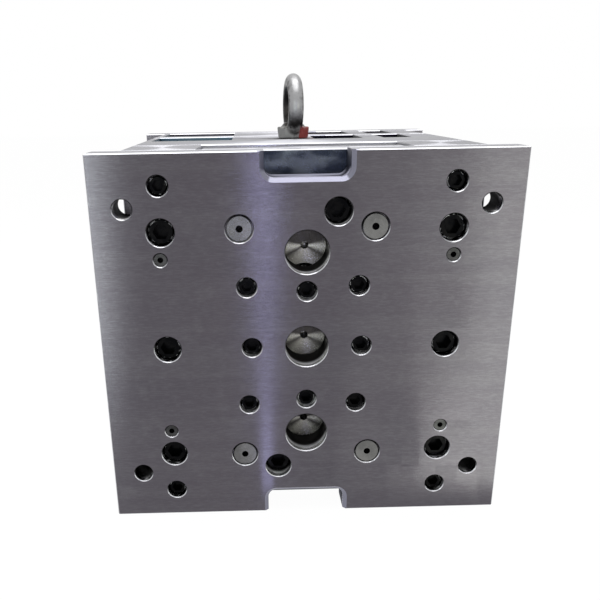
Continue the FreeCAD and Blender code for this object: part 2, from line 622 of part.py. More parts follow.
def make_dowels():
    dowel = turned("DowelStock", (
        ("0", "-dowel_deep"), ("dowel_r - edge_break", "-dowel_deep"),
        ("dowel_r", "edge_break - dowel_deep"), ("dowel_r", "-edge_break / 2"),
        ("dowel_r - edge_break / 2", "0"), ("dowel_tap_r", "0"),
        ("dowel_tap_r", "-dowel_tap_deep"), ("0", "-dowel_tap_deep")))
    group("locating_dowels", dowel, DOWELS, "stack - dowel_inset")


def make_ejector_guides():
    tip = "-(stack - guide_inset - spacer_level + guide_nose)"
    pin = turned("EjectorGuidePin", (
        ("0", tip), ("guide_r - 2 * edge_break", tip),
        ("guide_r", tip + " + 2 * edge_break"), ("guide_r", "-guide_head_tall"),
        ("guide_head_r", "-guide_head_tall"), ("guide_head_r", "-edge_break / 2"),
        ("guide_head_r - edge_break / 2", "0"), ("guide_tap_r", "0"),
        ("guide_tap_r", "-guide_tap_deep"), ("0", "-guide_tap_deep")))
    group("ejector_guide_pins", pin, GUIDES, "stack - guide_inset")
    inner = "guide_r + slide_gap"
    bush = turned("EjectorGuideBush", (
        (inner, "-ejector_cover_thick"), ("guide_bush_r", "-ejector_cover_thick"),
        ("guide_bush_r", "0"), ("guide_collar_r", "0"), ("guide_collar_r", "guide_collar_tall"),
        ("guide_bush_r", "guide_collar_tall"), ("guide_bush_r", "ejector_base_thick"),
        (inner, "ejector_base_thick")))
    group("ejector_guide_bushes", bush, GUIDES, "ejector_base_level")


def make_leader_set():
    tip = "-(core_thick + leader_reach)"
    pin = turned("LeaderPin", (
        ("0", tip), ("leader_r - leader_lead / 3", tip),
        ("leader_r", tip + " + leader_lead"), ("leader_r", "-leader_head_tall"),
        ("leader_head_r", "-leader_head_tall"), ("leader_head_r", "-edge_break"),
        ("leader_head_r - edge_break", "0"), ("0", "0")))
    group("leader_pins", pin, LEADERS, "spacer_level")
    inner = "leader_r + slide_gap"
    bush = turned("GuideBush", (
        (inner, "0"), ("bush_collar_r", "0"), ("bush_collar_r", "bush_collar_tall"),
        ("bush_r", "bush_collar_tall"), ("bush_r", "cavity_thick"),
        (inner + " + edge_break", "cavity_thick"), (inner, "cavity_thick - edge_break")))
    group("guide_bushes", bush, LEADERS, "clamp_thick")


def make_return_set():
    tip = "-(ejector_base_level - core_level)"
    pin = turned("ReturnPin", (
        ("0", tip), ("return_r - edge_break / 2", tip),
        ("return_r", tip + " + edge_break / 2"), ("return_r", "-return_head_tall"),
        ("return_head_r", "-return_head_tall"), ("return_head_r", "0"), ("0", "0")))
    group("return_pins", pin, RETURNS, "ejector_base_level")
    free = "ejector_cover_level - spacer_level + spring_pocket_deep"
    spring = new_body("ReturnSpring")
    sketch = new_sketch(spring, "SpringWire", role="XZ_Plane")
    draw_rectangle(sketch, "spring_r - spring_wire_wide", "spring_r", "0", "spring_wire_tall")
    coil = spring.newObject("PartDesign::AdditiveHelix", "SpringCoil")
    coil.Profile = sketch
    coil.ReferenceAxis = (sketch, ["V_Axis"])
    coil.Mode = "height-turns-angle"
    coil.setExpression("Height", of_sheet("(%s) - spring_wire_tall" % free))
    coil.setExpression("Turns", of_sheet("spring_turns"))
    doc.recompute()
    group("return_springs", spring, RETURNS, "spacer_level - spring_pocket_deep")


def make_stops():
    disc = turned("StopDisc", (
        ("0", "-stop_thick"), ("stop_disc_r - edge_break / 2", "-stop_thick"),
        ("stop_disc_r", "edge_break / 2 - stop_thick"), ("stop_disc_r", "0"),
        ("stop_peg_r", "0"), ("stop_peg_r", "stop_peg_deep"), ("0", "stop_peg_deep")))
    group("stop_discs", disc, STOPS, "clamp_level")


# ---------------------------------------------------------------- fixed side and lifting

def make_locating_ring():
    ring = turned("locating_ring", (
        ("ring_bore_r", "ring_sunk"), ("ring_bore_r", "ring_cone - ring_out"),
        ("ring_bore_r + ring_cone", "-ring_out"), ("ring_r - edge_break", "-ring_out"),
        ("ring_r", "edge_break - ring_out"), ("ring_r", "ring_relief_deep - edge_break"),
        ("ring_r - edge_break", "ring_relief_deep"), ("ring_spigot_r", "ring_relief_deep"),
        ("ring_spigot_r", "ring_sunk")))
    drill(ring, "RingShanks", RING_SCREWS, "ring_screw_r + head_gap", "ring_sunk")
    drill(ring, "RingHeads", RING_SCREWS, "ring_head_r + head_gap", "0")
    place(ring, "0")


def make_sprue_bush():
    floor = "clamp_thick + cavity_thick - cavity_pocket_deep"
    bush = turned("sprue_bush", (
        ("sprue_in_r", "ring_sunk + sprue_seat_deep"), ("sprue_seat_r", "ring_sunk"),
        ("sprue_head_r", "ring_sunk"), ("sprue_head_r", "ring_sunk + sprue_head_tall"),
        ("sprue_r", "ring_sunk + sprue_head_tall"), ("sprue_r", floor),
        ("sprue_out_r", floor)))
    place(bush, "0")


def make_eye_bolt():
    body = turned("eye_bolt", (
        ("0", "-eye_screw_long"), ("eye_screw_r - edge_break", "-eye_screw_long"),
        ("eye_screw_r", "edge_break - eye_screw_long"), ("eye_screw_r", "0"),
        ("eye_collar_r - edge_break", "0"), ("eye_collar_r", "edge_break"),
        ("eye_collar_r", "eye_collar_tall - edge_break"),
        ("eye_collar_r - edge_break", "eye_collar_tall"),
        ("eye_neck_r", "eye_neck_tall"), ("0", "eye_neck_tall")))
    ring = body.newObject("PartDesign::AdditiveTorus", "Ring")
    ring.AttachmentSupport = [(origin_plane(body, "YZ_Plane"), "")]
    ring.MapMode = "FlatFace"
    ring.setExpression("Radius1", of_sheet("eye_ring_r"))
    ring.setExpression("Radius2", of_sheet("eye_bar_r"))
    ring.setExpression("AttachmentOffset.Base.y", of_sheet("eye_ring_r + eye_bar_r"))
    doc.recompute()
    body.setExpression("Placement.Base.y", of_sheet("rear_y - eye_level"))
    body.setExpression("Placement.Base.z", of_sheet("plate_tall"))
    body.Placement.Rotation = FreeCAD.Rotation(FreeCAD.Vector(0, 0, 1), size("Sizes.eye_turn"))


NODES = (
    "bottom_clamp_plate", "left_spacer_block", "right_spacer_block", "core_plate",
    "clamp_screws", "spacer_screws", "support_pillars", "pillar_screws",
    "end_support_pillars", "end_pillar_screws", "locating_dowels", "leader_pins",
    "ejector_guide_pins", "stop_discs", "eye_bolt", "ejector_base_plate",
    "ejector_retainer_plate", "ejector_plate_screws", "ejector_guide_bushes", "return_pins",
    "return_springs", "cavity_plate", "top_clamp_plate", "guide_bushes",
    "top_clamp_screws", "locating_ring", "locating_ring_screws", "sprue_bush",
)


def export_nodes():
    os.makedirs("parts", exist_ok=True)
    for label in NODES:
        item = doc.getObjectsByLabel(label)[0]
        broken = [state for state in item.State if state in ("Invalid", "Error")]
        if broken or item.Shape.isNull() or not item.Shape.isValid():
            raise RuntimeError("%s is not sound: %s" % (label, item.State))
        item.Shape.exportStep("parts/%s.step" % label)


fill_sheet()
make_bottom_clamp_plate()
make_spacer_blocks()
make_core_plate()
make_cavity_plate()
make_top_clamp_plate()
make_ejector_plates()
make_screws()
make_pillars()
make_dowels()
make_ejector_guides()
make_leader_set()
make_return_set()
make_stops()
make_locating_ring()
make_sprue_bush()
make_eye_bolt()
doc.recompute()
export_nodes()
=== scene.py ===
import math

import bpy
from mathutils import Matrix, Vector


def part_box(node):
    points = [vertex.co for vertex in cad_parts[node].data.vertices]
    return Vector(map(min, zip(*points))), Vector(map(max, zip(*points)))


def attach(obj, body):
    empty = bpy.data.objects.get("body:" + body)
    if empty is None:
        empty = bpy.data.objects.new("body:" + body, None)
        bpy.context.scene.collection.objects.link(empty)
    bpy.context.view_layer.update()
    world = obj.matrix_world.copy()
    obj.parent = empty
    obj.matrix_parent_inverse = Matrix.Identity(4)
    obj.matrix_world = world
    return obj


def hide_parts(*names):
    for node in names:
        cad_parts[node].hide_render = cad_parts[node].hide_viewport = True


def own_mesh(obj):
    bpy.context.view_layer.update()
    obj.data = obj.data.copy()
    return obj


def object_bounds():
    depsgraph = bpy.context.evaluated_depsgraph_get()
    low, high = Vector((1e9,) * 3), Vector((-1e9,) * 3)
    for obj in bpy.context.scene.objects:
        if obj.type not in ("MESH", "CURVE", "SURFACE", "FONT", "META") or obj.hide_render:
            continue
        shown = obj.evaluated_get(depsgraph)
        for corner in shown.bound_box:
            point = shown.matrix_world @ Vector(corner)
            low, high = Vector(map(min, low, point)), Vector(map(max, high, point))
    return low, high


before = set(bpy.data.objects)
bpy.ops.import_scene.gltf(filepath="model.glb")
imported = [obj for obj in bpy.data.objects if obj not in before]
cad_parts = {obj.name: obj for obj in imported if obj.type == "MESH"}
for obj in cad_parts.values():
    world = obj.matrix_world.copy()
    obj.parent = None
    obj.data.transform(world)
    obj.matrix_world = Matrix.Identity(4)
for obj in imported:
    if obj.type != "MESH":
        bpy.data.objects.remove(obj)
cad_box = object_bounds()
bpy.ops.object.select_all(action="DESELECT")
bpy.context.scene.view_settings.view_transform = "Standard"


def corners(node):
    low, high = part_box(node)
    return Vector(low), Vector(high)


def middle(node):
    low, high = corners(node)
    return (low + high) / 2


def half_size(node):
    low, high = corners(node)
    return (high - low) / 2


# ---------------------------------------------------------------- sizes, in metres

clamp_low, clamp_high = corners("bottom_clamp_plate")
front = clamp_low.y
top = clamp_high.z
mid_z = (clamp_low.z + clamp_high.z) / 2
core_front = corners("core_plate")[0].y

KNOCK_OUT_PITCH = 0.117
WORN_EDGE = 0.0016
PLATE_GRIND_PITCH = 900.0
PIN_GRIND_PITCH = 1600.0
TURNED_PITCH = 0.00016
SMALLEST_RADIUS = 0.0005

# Each pair gives where a mask is 0 and where it is 1.
NOTCH_BESIDE = (0.058, 0.056)
NOTCH_FROM_MIDDLE = (0.19, 0.192)
BAND_BEHIND_FACE = (0.0012, 0.0008)
BAND_BELOW_TOP = (0.04, 0.03)
RECESS_BESIDE = (0.2095, 0.2085)
RECESS_BELOW_TOP = (0.0006, 0.0011)
RECESS_ABOVE_FLOOR = (0.009, 0.0078)
BLUE_ENDS_AT = (-0.1, -0.08)
KNOCK_OUT_RADIUS = (0.026, 0.023)
BORE_DARKENS = (0.005, 0.018)
KNOCK_OUT_DARKENS = (0.012, 0.021)
BORE_DULLS = (0.004, 0.016)
TURNED_RADIUS = (0.034, 0.03)
POLISHED_FROM_MIDDLE = (0.192, 0.196)
POLISHED_BESIDE = (0.053, 0.056)
DRILLED_BEHIND_FACE = (0.001, 0.002)

# The lifting eye.
eye_low, eye_high = corners("eye_bolt")
EYE_RING_RADIUS = 0.0338
EYE_BAR_RADIUS = 0.0108
EYE_RING_BELOW_TOP = 0.045
EYE_TURN = math.radians(4)
EYE_NECK_ABOVE_PLATE = 0.019
EYE_NECK_TALL = 0.008
EYE_COLLAR_ABOVE_PLATE = 0.0084
EYE_COLLAR_TALL = 0.016
EYE_SHANK_RADIUS = 0.0118
EYE_SHANK_PLAY = 0.0006
EYE_WELD_GRAIN = 0.0009
eye_centre = Vector(((eye_low.x + eye_high.x) / 2, (eye_low.y + eye_high.y) / 2,
                     eye_high.z - EYE_RING_BELOW_TOP))


# ---------------------------------------------------------------- colours

# Broad plate faces: the steel painted dark, as painted shade.
SHADED_FACE_STEEL = (0.090, 0.082, 0.095, 1)
FILM_STEEL = (0.076, 0.073, 0.086, 1)
PALE_STEEL = (0.125, 0.12, 0.13, 1)
GLINT_STEEL = (0.24, 0.24, 0.26, 1)
# Painted light: steel painted pale where it stands for lit edges and faces.
LIT_STEEL = (0.52, 0.52, 0.55, 1)
SIDE_STEEL = (0.3, 0.3, 0.32, 1)
# Pale chamfer steel: painted highlight on upward chamfers and outer edges, and the rubbed
# corners.
CHAMFER_STEEL = (0.55, 0.55, 0.58, 1)
# Notch walls and chamfers painted a dim bluish grey as painted shade.
SHADED_NOTCH_STEEL = (0.2, 0.2, 0.25, 1)
# Bore walls: pale near the mouth as painted highlight.
LIT_BORE_STEEL = (0.55, 0.55, 0.56, 1)
LIT_KNOCK_OUT_STEEL = (0.72, 0.72, 0.71, 1)
# Near-black painted shade: deep in bores, on downward chamfers and in drilled centres.
PAINTED_SHADE_STEEL = (0.012, 0.011, 0.011, 1)
# Recess floors and walls: painted blue reflection, and near-black painted shade.
RECESS_BLUE_REFLECTION = (0.1, 0.17, 0.23, 1)
RECESS_TEAL_REFLECTION = (0.16, 0.22, 0.25, 1)
RECESS_PAINTED_SHADE = (0.012, 0.012, 0.022, 1)

TURNED_STEEL = (0.05, 0.046, 0.045, 1)
TURNED_FILM = (0.028, 0.026, 0.026, 1)
# Painted highlight: the pale fans of a turned face.
TURNED_FAN_HIGHLIGHT = (0.3, 0.29, 0.27, 1)
POLISHED_DARK = (0.02, 0.024, 0.036, 1)
POLISHED_PALE = (0.085, 0.095, 0.115, 1)

# Pin colours: the clean end, the end under an oil film, and the side. The guide pins' and dowels'
# darker ends and near-black sides are painted shade.
GUIDE_PIN = ((0.15, 0.148, 0.146, 1), (0.1, 0.099, 0.098, 1), (0.012, 0.012, 0.012, 1))
DOWEL = ((0.05, 0.05, 0.05, 1), (0.025, 0.025, 0.025, 1), (0.012, 0.012, 0.012, 1))
HARD_PIN = ((0.33, 0.33, 0.33, 1), (0.22, 0.22, 0.225, 1), (0.16, 0.16, 0.16, 1))

OXIDE = (0.003, 0.003, 0.0035, 1)
OXIDE_FILM = (0.006, 0.0058, 0.006, 1)
OXIDE_RUBBED = (0.08, 0.08, 0.08, 1)
# Bright nicks on the screw corners: worn steel that also stands in as painted glints.
OXIDE_NICK_GLINT = (0.6, 0.6, 0.6, 1)
BRONZE = (0.72, 0.46, 0.2, 1)
BRONZE_FILM = (0.5, 0.29, 0.12, 1)
SPRING_BLUE = (0.02, 0.09, 0.42, 1)
SPRING_BLUE_FILM = (0.03, 0.13, 0.5, 1)
SPRING_CHIPPED = (0.3, 0.3, 0.31, 1)
FORGED_STEEL = (0.04, 0.038, 0.036, 1)
FORGED_FILM = (0.012, 0.011, 0.011, 1)
FORGED_RUBBED = (0.32, 0.32, 0.325, 1)
COLLAR_STEEL = (0.27, 0.27, 0.26, 1)
SCALE_PIT = (0.05, 0.045, 0.045, 1)
EYE_PAINT = (0.26, 0.03, 0.025, 1)
FLOOR_GREY = (0.85, 0.85, 0.85, 1)


# ---------------------------------------------------------------- camera

def make_camera():
    data = bpy.data.cameras.new("camera")
    data.sensor_width = 36
    data.lens = 40.31
    data.shift_x = 0.0633
    data.shift_y = 0.0667
    data.clip_start = 0.05
    data.clip_end = 60
    camera = bpy.data.objects.new("camera", data)
    bpy.context.scene.collection.objects.link(camera)
    place = Vector((-0.0656, front - 0.7721, 0.5147))
    right = Vector((0.99967, -0.01973, -0.01618))
    forward = Vector((0.01323, 0.94304, -0.33241))
    up = right.cross(forward)
    turn = Matrix((right, up, -forward)).transposed().to_4x4()
    camera.matrix_world = Matrix.Translation(place) @ turn
    bpy.context.scene.camera = camera


make_camera()


# ---------------------------------------------------------------- nodes

def put(tree, kind, **settings):
    node = tree.nodes.new(kind)
    for name, value in settings.items():
        setattr(node, name, value)
    return node


def feed(tree, node, socket, value):
    """Links a socket's value, or sets a plain one."""
    if isinstance(value, bpy.types.NodeSocket):
        tree.links.new(value, node.inputs[socket])
    else:
        node.inputs[socket].default_value = value


def calc(tree, operation, first, second=0.0, third=0.0):
    node = put(tree, "ShaderNodeMath", operation=operation)
    for number, value in enumerate((first, second, third)):
        feed(tree, node, number, value)
    return node.outputs[0]


def times(tree, *factors):
    product = factors[0]
    for factor in factors[1:]:
        product = calc(tree, "MULTIPLY", product, factor)
    return product


def vector_calc(tree, operation, first, second=(0, 0, 0)):
    node = put(tree, "ShaderNodeVectorMath", operation=operation)
    feed(tree, node, 0, first)
    feed(tree, node, 1, second)
    return node.outputs["Value" if operation == "LENGTH" else "Vector"]


def step(tree, value, low, high, out_low=0.0, out_high=1.0):
    """A soft step from out_low to out_high as the value goes from low to high."""
    node = put(tree, "ShaderNodeMapRange", interpolation_type="SMOOTHSTEP")
    for name, given in (("Value", value), ("From Min", low), ("From Max", high),
                        ("To Min", out_low), ("To Max", out_high)):
        feed(tree, node, name, given)
    return node.outputs["Result"]


def noise(tree, position, scale, detail, rough):
    node = put(tree, "ShaderNodeTexNoise")
    for name, given in (("Vector", position), ("Scale", scale), ("Detail", detail),
                        ("Roughness", rough)):
        feed(tree, node, name, given)
    return node.outputs["Fac"]


def streaks(tree, position, fineness, detail, rough):
    """Noise with its own fineness along each axis."""
    return noise(tree, vector_calc(tree, "MULTIPLY", position, fineness), 1.0, detail, rough)


def split(tree, vector):
    node = put(tree, "ShaderNodeSeparateXYZ")
    feed(tree, node, 0, vector)
    return node.outputs


def combine(tree, **axes):
    node = put(tree, "ShaderNodeCombineXYZ")
    for axis, value in axes.items():
        feed(tree, node, axis, value)
    return node.outputs[0]


def blend_colour(tree, share, first, second):
    node = put(tree, "ShaderNodeMix", data_type="RGBA")
    for socket, value in ((0, share), (6, first), (7, second)):
        feed(tree, node, socket, value)
    return node.outputs[2]


def coats(tree, colour, *layers):
    """Lays colours over one another, each by its own share."""
    for share, over in layers:
        colour = blend_colour(tree, share, colour, over)
    return colour


def distances(tree, place, centre):
    """How far a point lies from a centre along each axis, to either side."""
    return vector_calc(tree, "ABSOLUTE", vector_calc(tree, "SUBTRACT", place, centre))


def off_middle(tree, place, axis, centre=0.0):
    """How far a point lies from a middle line along one axis, to either side."""
    return calc(tree, "ABSOLUTE", calc(tree, "SUBTRACT", split(tree, place)[axis], centre))


# ---------------------------------------------------------------- shared effects

def new_effect(name, inputs, outputs):
    tree = bpy.data.node_groups.new(name, "ShaderNodeTree")
    for label, kind, value in inputs:
        socket = tree.interface.new_socket(label, in_out="INPUT", socket_type="NodeSocket" + kind)
        socket.default_value = value
    for label in outputs:
        tree.interface.new_socket(label, in_out="OUTPUT", socket_type="NodeSocketFloat")
    return tree, put(tree, "NodeGroupInput").outputs, put(tree, "NodeGroupOutput")


def make_worn_edges():
    """Bright rubbed corners of a squared block: where two of its faces are both close."""
    tree, given, made = new_effect("worn edges", (
        ("Position", "Vector", (0, 0, 0)), ("Centre", "Vector", (0, 0, 0)),
        ("Half size", "Vector", (1, 1, 1)), ("Width", "Float", 0.003)), ("Mask",))
    away = distances(tree, given["Position"], given["Centre"])
    x, y, z = split(tree, vector_calc(tree, "SUBTRACT", given["Half size"], away))
    second = calc(tree, "MAXIMUM", calc(tree, "MINIMUM", x, y),
                  calc(tree, "MINIMUM", calc(tree, "MAXIMUM", x, y), z))
    ragged = noise(tree, given["Position"], scale=90.0, detail=4.0, rough=0.65)
    reach = times(tree, given["Width"], calc(tree, "MULTIPLY_ADD", ragged, 2.4, -0.35))
    feed(tree, made, "Mask", step(tree, second, reach, 0.0))
    return tree


def make_grinding():
    """Straight wheel lines along X, in bands, with a sparkle between them."""
    tree, given, made = new_effect("grinding", (
        ("Position", "Vector", (0, 0, 0)), ("Pitch", "Float", 900.0)),
        ("Height", "Tone", "Sparkle"))
    lines = combine(tree, X=40.0, Y=given["Pitch"], Z=given["Pitch"])
    bands = streaks(tree, given["Position"], (2.5, 60, 60), detail=4.0, rough=0.6)
    glints = streaks(tree, given["Position"], (110, 900, 900), detail=3.0, rough=0.7)
    feed(tree, made, "Height", streaks(tree, given["Position"], lines, detail=3.0, rough=0.7))
    feed(tree, made, "Tone", bands)
    feed(tree, made, "Sparkle", step(tree, glints, 0.42, 0.66))
    return tree


def make_turning():
    """Rings that a turning or boring tool leaves round an axis along Y."""
    tree, given, made = new_effect("turning", (
        ("Position", "Vector", (0, 0, 0)), ("Centre", "Vector", (0, 0, 0)),
        ("Pitch", "Float", 0.0006)), ("Height", "Radius"))
    away = vector_calc(tree, "SUBTRACT", given["Position"], given["Centre"])
    radius = vector_calc(tree, "LENGTH", vector_calc(tree, "MULTIPLY", away, (1, 0, 1)))
    feed(tree, made, "Height", calc(tree, "SINE", calc(tree, "DIVIDE", radius, given["Pitch"])))
    feed(tree, made, "Radius", radius)
    return tree


def make_handling():
    """Oil film and finger marks on bare steel."""
    tree, given, made = new_effect("handling", (
        ("Position", "Vector", (0, 0, 0)), ("Size", "Float", 9.0)), ("Film", "Smudge"))
    film = noise(tree, given["Position"], scale=given["Size"], detail=5.0, rough=0.6)
    smudge = noise(tree, given["Position"], scale=times(tree, given["Size"], 5.0), detail=6.0,
                   rough=0.65)
    feed(tree, made, "Film", step(tree, film, 0.35, 0.7))
    feed(tree, made, "Smudge", step(tree, smudge, 0.52, 0.72))
    return tree


worn_edges = make_worn_edges()
grinding = make_grinding()
turning = make_turning()
handling = make_handling()


def effect(tree, group, **values):
    node = put(tree, "ShaderNodeGroup", node_tree=group)
    for name, value in values.items():
        feed(tree, node, name.replace("_", " "), value)
    return node.outputs


# ---------------------------------------------------------------- finishes

def new_finish(name, **fixed):
    material = bpy.data.materials.new(name)
    material.use_nodes = True
    tree = material.node_tree
    shader = tree.nodes["Principled BSDF"]
    for socket, value in fixed.items():
        shader.inputs[socket.replace("_", " ")].default_value = value
    place = put(tree, "ShaderNodeTexCoord").outputs["Object"]
    return material, tree, shader, place


def bump(tree, shader, height, distance, strength):
    node = put(tree, "ShaderNodeBump")
    feed(tree, node, "Height", height)
    feed(tree, node, "Distance", distance)
    feed(tree, node, "Strength", strength)
    feed(tree, shader, "Normal", node.outputs["Normal"])


def dulled(tree, marks, clean, dull):
    """Roughness that goes from clean to dull under the marks."""
    return step(tree, marks, 0.0, 1.0, clean, dull)


def facing(tree):
    return split(tree, put(tree, "ShaderNodeNewGeometry").outputs["True Normal"])


def squareness(tree):
    """How squarely a face looks along Y: 1 on plate faces, 0 on edges and bore walls."""
    return calc(tree, "ABSOLUTE", facing(tree)["Y"])


def broken_edge(tree, square, low, high):
    """1 on chamfers, which look neither along Y nor across it."""
    return times(tree, step(tree, square, low, high), step(tree, square, 0.9, 0.8))


def behind(tree, place, face_y):
    """How far behind a face across Y a point lies."""
    return calc(tree, "SUBTRACT", split(tree, place)["Y"], face_y)


def below_top(tree, place):
    """How far below the clamping plate's top edge a point lies."""
    return calc(tree, "SUBTRACT", top, split(tree, place)["Z"])


def knock_out_place(tree, place):
    """Place about the nearest knock-out hole's own axis."""
    axes = split(tree, place)
    near = calc(tree, "WRAP", calc(tree, "SUBTRACT", axes["Z"], mid_z), KNOCK_OUT_PITCH / 2,
                -KNOCK_OUT_PITCH / 2)
    return combine(tree, X=axes["X"], Z=near)


def rim(tree, place, node):
    """1 on the outer edges of a plate, 0 on the bores and pockets inside it."""
    away = distances(tree, place, middle(node))
    axes = split(tree, vector_calc(tree, "SUBTRACT", half_size(node), away))
    return step(tree, calc(tree, "MINIMUM", axes["X"], axes["Z"]), WORN_EDGE, 0.0)


def notch_walls(tree, place):
    """1 in the pry notches at the middle of the top and bottom edges."""
    return times(tree, step(tree, off_middle(tree, place, "X"), *NOTCH_BESIDE),
                 step(tree, off_middle(tree, place, "Z", mid_z), *NOTCH_FROM_MIDDLE))


def lit_core_band(tree, place):
    """1 on the strip of the core plate's face that shows above the ejector plates, painted pale
    as lit.
    """
    return times(tree, step(tree, behind(tree, place, core_front), *BAND_BEHIND_FACE),
                 step(tree, below_top(tree, place), *BAND_BELOW_TOP))


def recess_shade(tree, place):
    """1 on the walls and floors of the shallow recesses in the plates' top edges."""
    below = below_top(tree, place)
    return times(tree, step(tree, off_middle(tree, place, "X"), *RECESS_BESIDE),
                 step(tree, below, *RECESS_BELOW_TOP), step(tree, below, *RECESS_ABOVE_FLOOR))


def bore_light_and_shade(tree, place):
    """Painted highlight at the mouth of each hole, then painted shade, nearly black, further in.
    The big knock-out holes are painted bright for more of their depth."""
    deep = behind(tree, place, front)
    radius = vector_calc(tree, "LENGTH", knock_out_place(tree, place))
    small = blend_colour(tree, step(tree, deep, *BORE_DARKENS), LIT_BORE_STEEL, PAINTED_SHADE_STEEL)
    big = blend_colour(tree, step(tree, deep, *KNOCK_OUT_DARKENS), LIT_KNOCK_OUT_STEEL, PAINTED_SHADE_STEEL)
    return blend_colour(tree, step(tree, radius, *KNOCK_OUT_RADIUS), small, big)


def ground_face(tree, ground, marks):
    """Broad face: painted dark as shade, darker still under its oil film, with pale bands, finger
    marks and glints.
    """
    return coats(tree, SHADED_FACE_STEEL,
                 (times(tree, marks["Film"], 0.3), FILM_STEEL),
                 (step(tree, ground["Tone"], 0.4, 0.7, 0.0, 0.25), PALE_STEEL),
                 (times(tree, marks["Smudge"], 0.3), PALE_STEEL),
                 (times(tree, ground["Sparkle"], 0.12), GLINT_STEEL))


def ground_side(tree, place, marks):
    """Outer edge of a plate: painted bright as lit steel, with a fine lay along it."""
    lay = streaks(tree, place, (8, 4, 420), detail=4.0, rough=0.65)
    return coats(tree, LIT_STEEL,
                 (step(tree, lay, 0.3, 0.7, 0.15, 0.5), SIDE_STEEL),
                 (times(tree, marks["Film"], 0.08), SIDE_STEEL))


def recess_reflection_and_shade(tree, place, marks):
    """Painted blue reflection towards one side of the plate, painted shade, nearly black, over
    the rest.
    """
    blue = blend_colour(tree, marks["Film"], RECESS_BLUE_REFLECTION, RECESS_TEAL_REFLECTION)
    dark = step(tree, split(tree, place)["X"], *BLUE_ENDS_AT)
    return blend_colour(tree, dark, blue, RECESS_PAINTED_SHADE)


def plate_finish(node, recessed=False):
    """Surface-ground steel plate: broad faces painted dark as shade, edges painted bright as lit,
    bores painted shade.
    """
    material, tree, shader, place = new_finish(node.replace("_", " ") + " steel", Metallic=1.0,
                                               Anisotropic=1.0, Anisotropic_Rotation=0.25)
    ground = effect(tree, grinding, Position=place, Pitch=PLATE_GRIND_PITCH)
    marks = effect(tree, handling, Position=place, Size=7.0)
    worn = effect(tree, worn_edges, Position=place, Centre=middle(node),
                  Half_size=half_size(node), Width=WORN_EDGE)
    square = squareness(tree)
    outside = rim(tree, place, node)
    notch = notch_walls(tree, place)
    # Bore walls, painted shade in the notches, and the painted lit colour on the outer edges.
    wall = coats(tree, bore_light_and_shade(tree, place), (notch, SHADED_NOTCH_STEEL),
                 (outside, ground_side(tree, place, marks)))
    # Painted light on the chamfers: pale highlight where they face up or lie on the outer edge,
    # painted shade where they face down.
    upward = calc(tree, "MAXIMUM", outside, step(tree, facing(tree)["Z"], -0.25, 0.45))
    lip = coats(tree, PAINTED_SHADE_STEEL, (upward, CHAMFER_STEEL), (notch, SHADED_NOTCH_STEEL))
    colour = coats(tree, wall,
                   (step(tree, square, 0.8, 0.95), ground_face(tree, ground, marks)),
                   (broken_edge(tree, square, low=0.45, high=0.6), lip),
                   (times(tree, worn["Mask"], 0.7), CHAMFER_STEEL))
    if recessed:
        # Painted reflection and shade in the top-edge recesses, and a painted lit strip on the
        # core plate's face.
        colour = coats(tree, colour,
                       (recess_shade(tree, place), recess_reflection_and_shade(tree, place, marks)),
                       (lit_core_band(tree, place), LIT_STEEL))
    feed(tree, shader, "Base Color", colour)
    inner = times(tree, step(tree, square, 0.5, 0.3),
                  step(tree, behind(tree, place, front), *BORE_DULLS))
    feed(tree, shader, "Roughness", calc(tree, "MULTIPLY_ADD", inner, 0.55,
                                         dulled(tree, marks["Smudge"], clean=0.22, dull=0.25)))
    bump(tree, shader, ground["Height"], distance=0.00008, strength=0.6)
    tangent = put(tree, "ShaderNodeTangent", direction_type="RADIAL", axis="Z")
    feed(tree, shader, "Tangent", tangent.outputs[0])
    return material


def painted_fan_highlights(tree, local):
    """Painted highlight: the pale wings and apron that a fine-turned face shows about its centre.
    """
    radius = calc(tree, "MAXIMUM", vector_calc(tree, "LENGTH", local), SMALLEST_RADIUS)
    down = calc(tree, "DIVIDE", times(tree, split(tree, local)["Z"], -1.0), radius)
    beside = calc(tree, "ABSOLUTE", calc(tree, "SUBTRACT", down, 0.12))
    return calc(tree, "MAXIMUM", step(tree, beside, 0.42, 0.03), step(tree, down, 0.45, 0.98))


def turned_finish(node):
    """Ejector base plate: turned rings under the knock-out holes with painted highlight fans,
    polished where the notches open; edges painted lit, bores painted shade."""
    material, tree, shader, place = new_finish("spot-faced steel", Metallic=1.0, Anisotropic=0.9,
                                               Anisotropic_Rotation=0.25)
    local = knock_out_place(tree, place)
    rings = effect(tree, turning, Position=local, Pitch=TURNED_PITCH)
    marks = effect(tree, handling, Position=place, Size=24.0)
    square = squareness(tree)
    veil = streaks(tree, place, (30, 1, 60), detail=3.0, rough=0.5)
    polished = blend_colour(tree, step(tree, veil, 0.35, 0.65), POLISHED_DARK, POLISHED_PALE)
    end = step(tree, off_middle(tree, place, "Z", mid_z), *POLISHED_FROM_MIDDLE)
    beside = step(tree, off_middle(tree, place, "X"), *POLISHED_BESIDE)
    face = coats(tree, TURNED_STEEL, (marks["Film"], TURNED_FILM),
                 (painted_fan_highlights(tree, local), TURNED_FAN_HIGHLIGHT), (end, polished),
                 (times(tree, end, beside), LIT_STEEL))
    # Painted lit colour on the outer edges, painted shade in the bores.
    wall = blend_colour(tree, rim(tree, place, node), PAINTED_SHADE_STEEL, LIT_STEEL)
    feed(tree, shader, "Base Color", blend_colour(tree, step(tree, square, 0.7, 0.9), wall, face))
    feed(tree, shader, "Roughness", dulled(tree, marks["Smudge"], clean=0.26, dull=0.34))
    inside = step(tree, rings["Radius"], *TURNED_RADIUS)
    bump(tree, shader, times(tree, rings["Height"], inside), distance=0.00005, strength=0.5)
    feed(tree, shader, "Tangent", vector_calc(tree, "CROSS_PRODUCT", local, (0, 1, 0)))
    return material


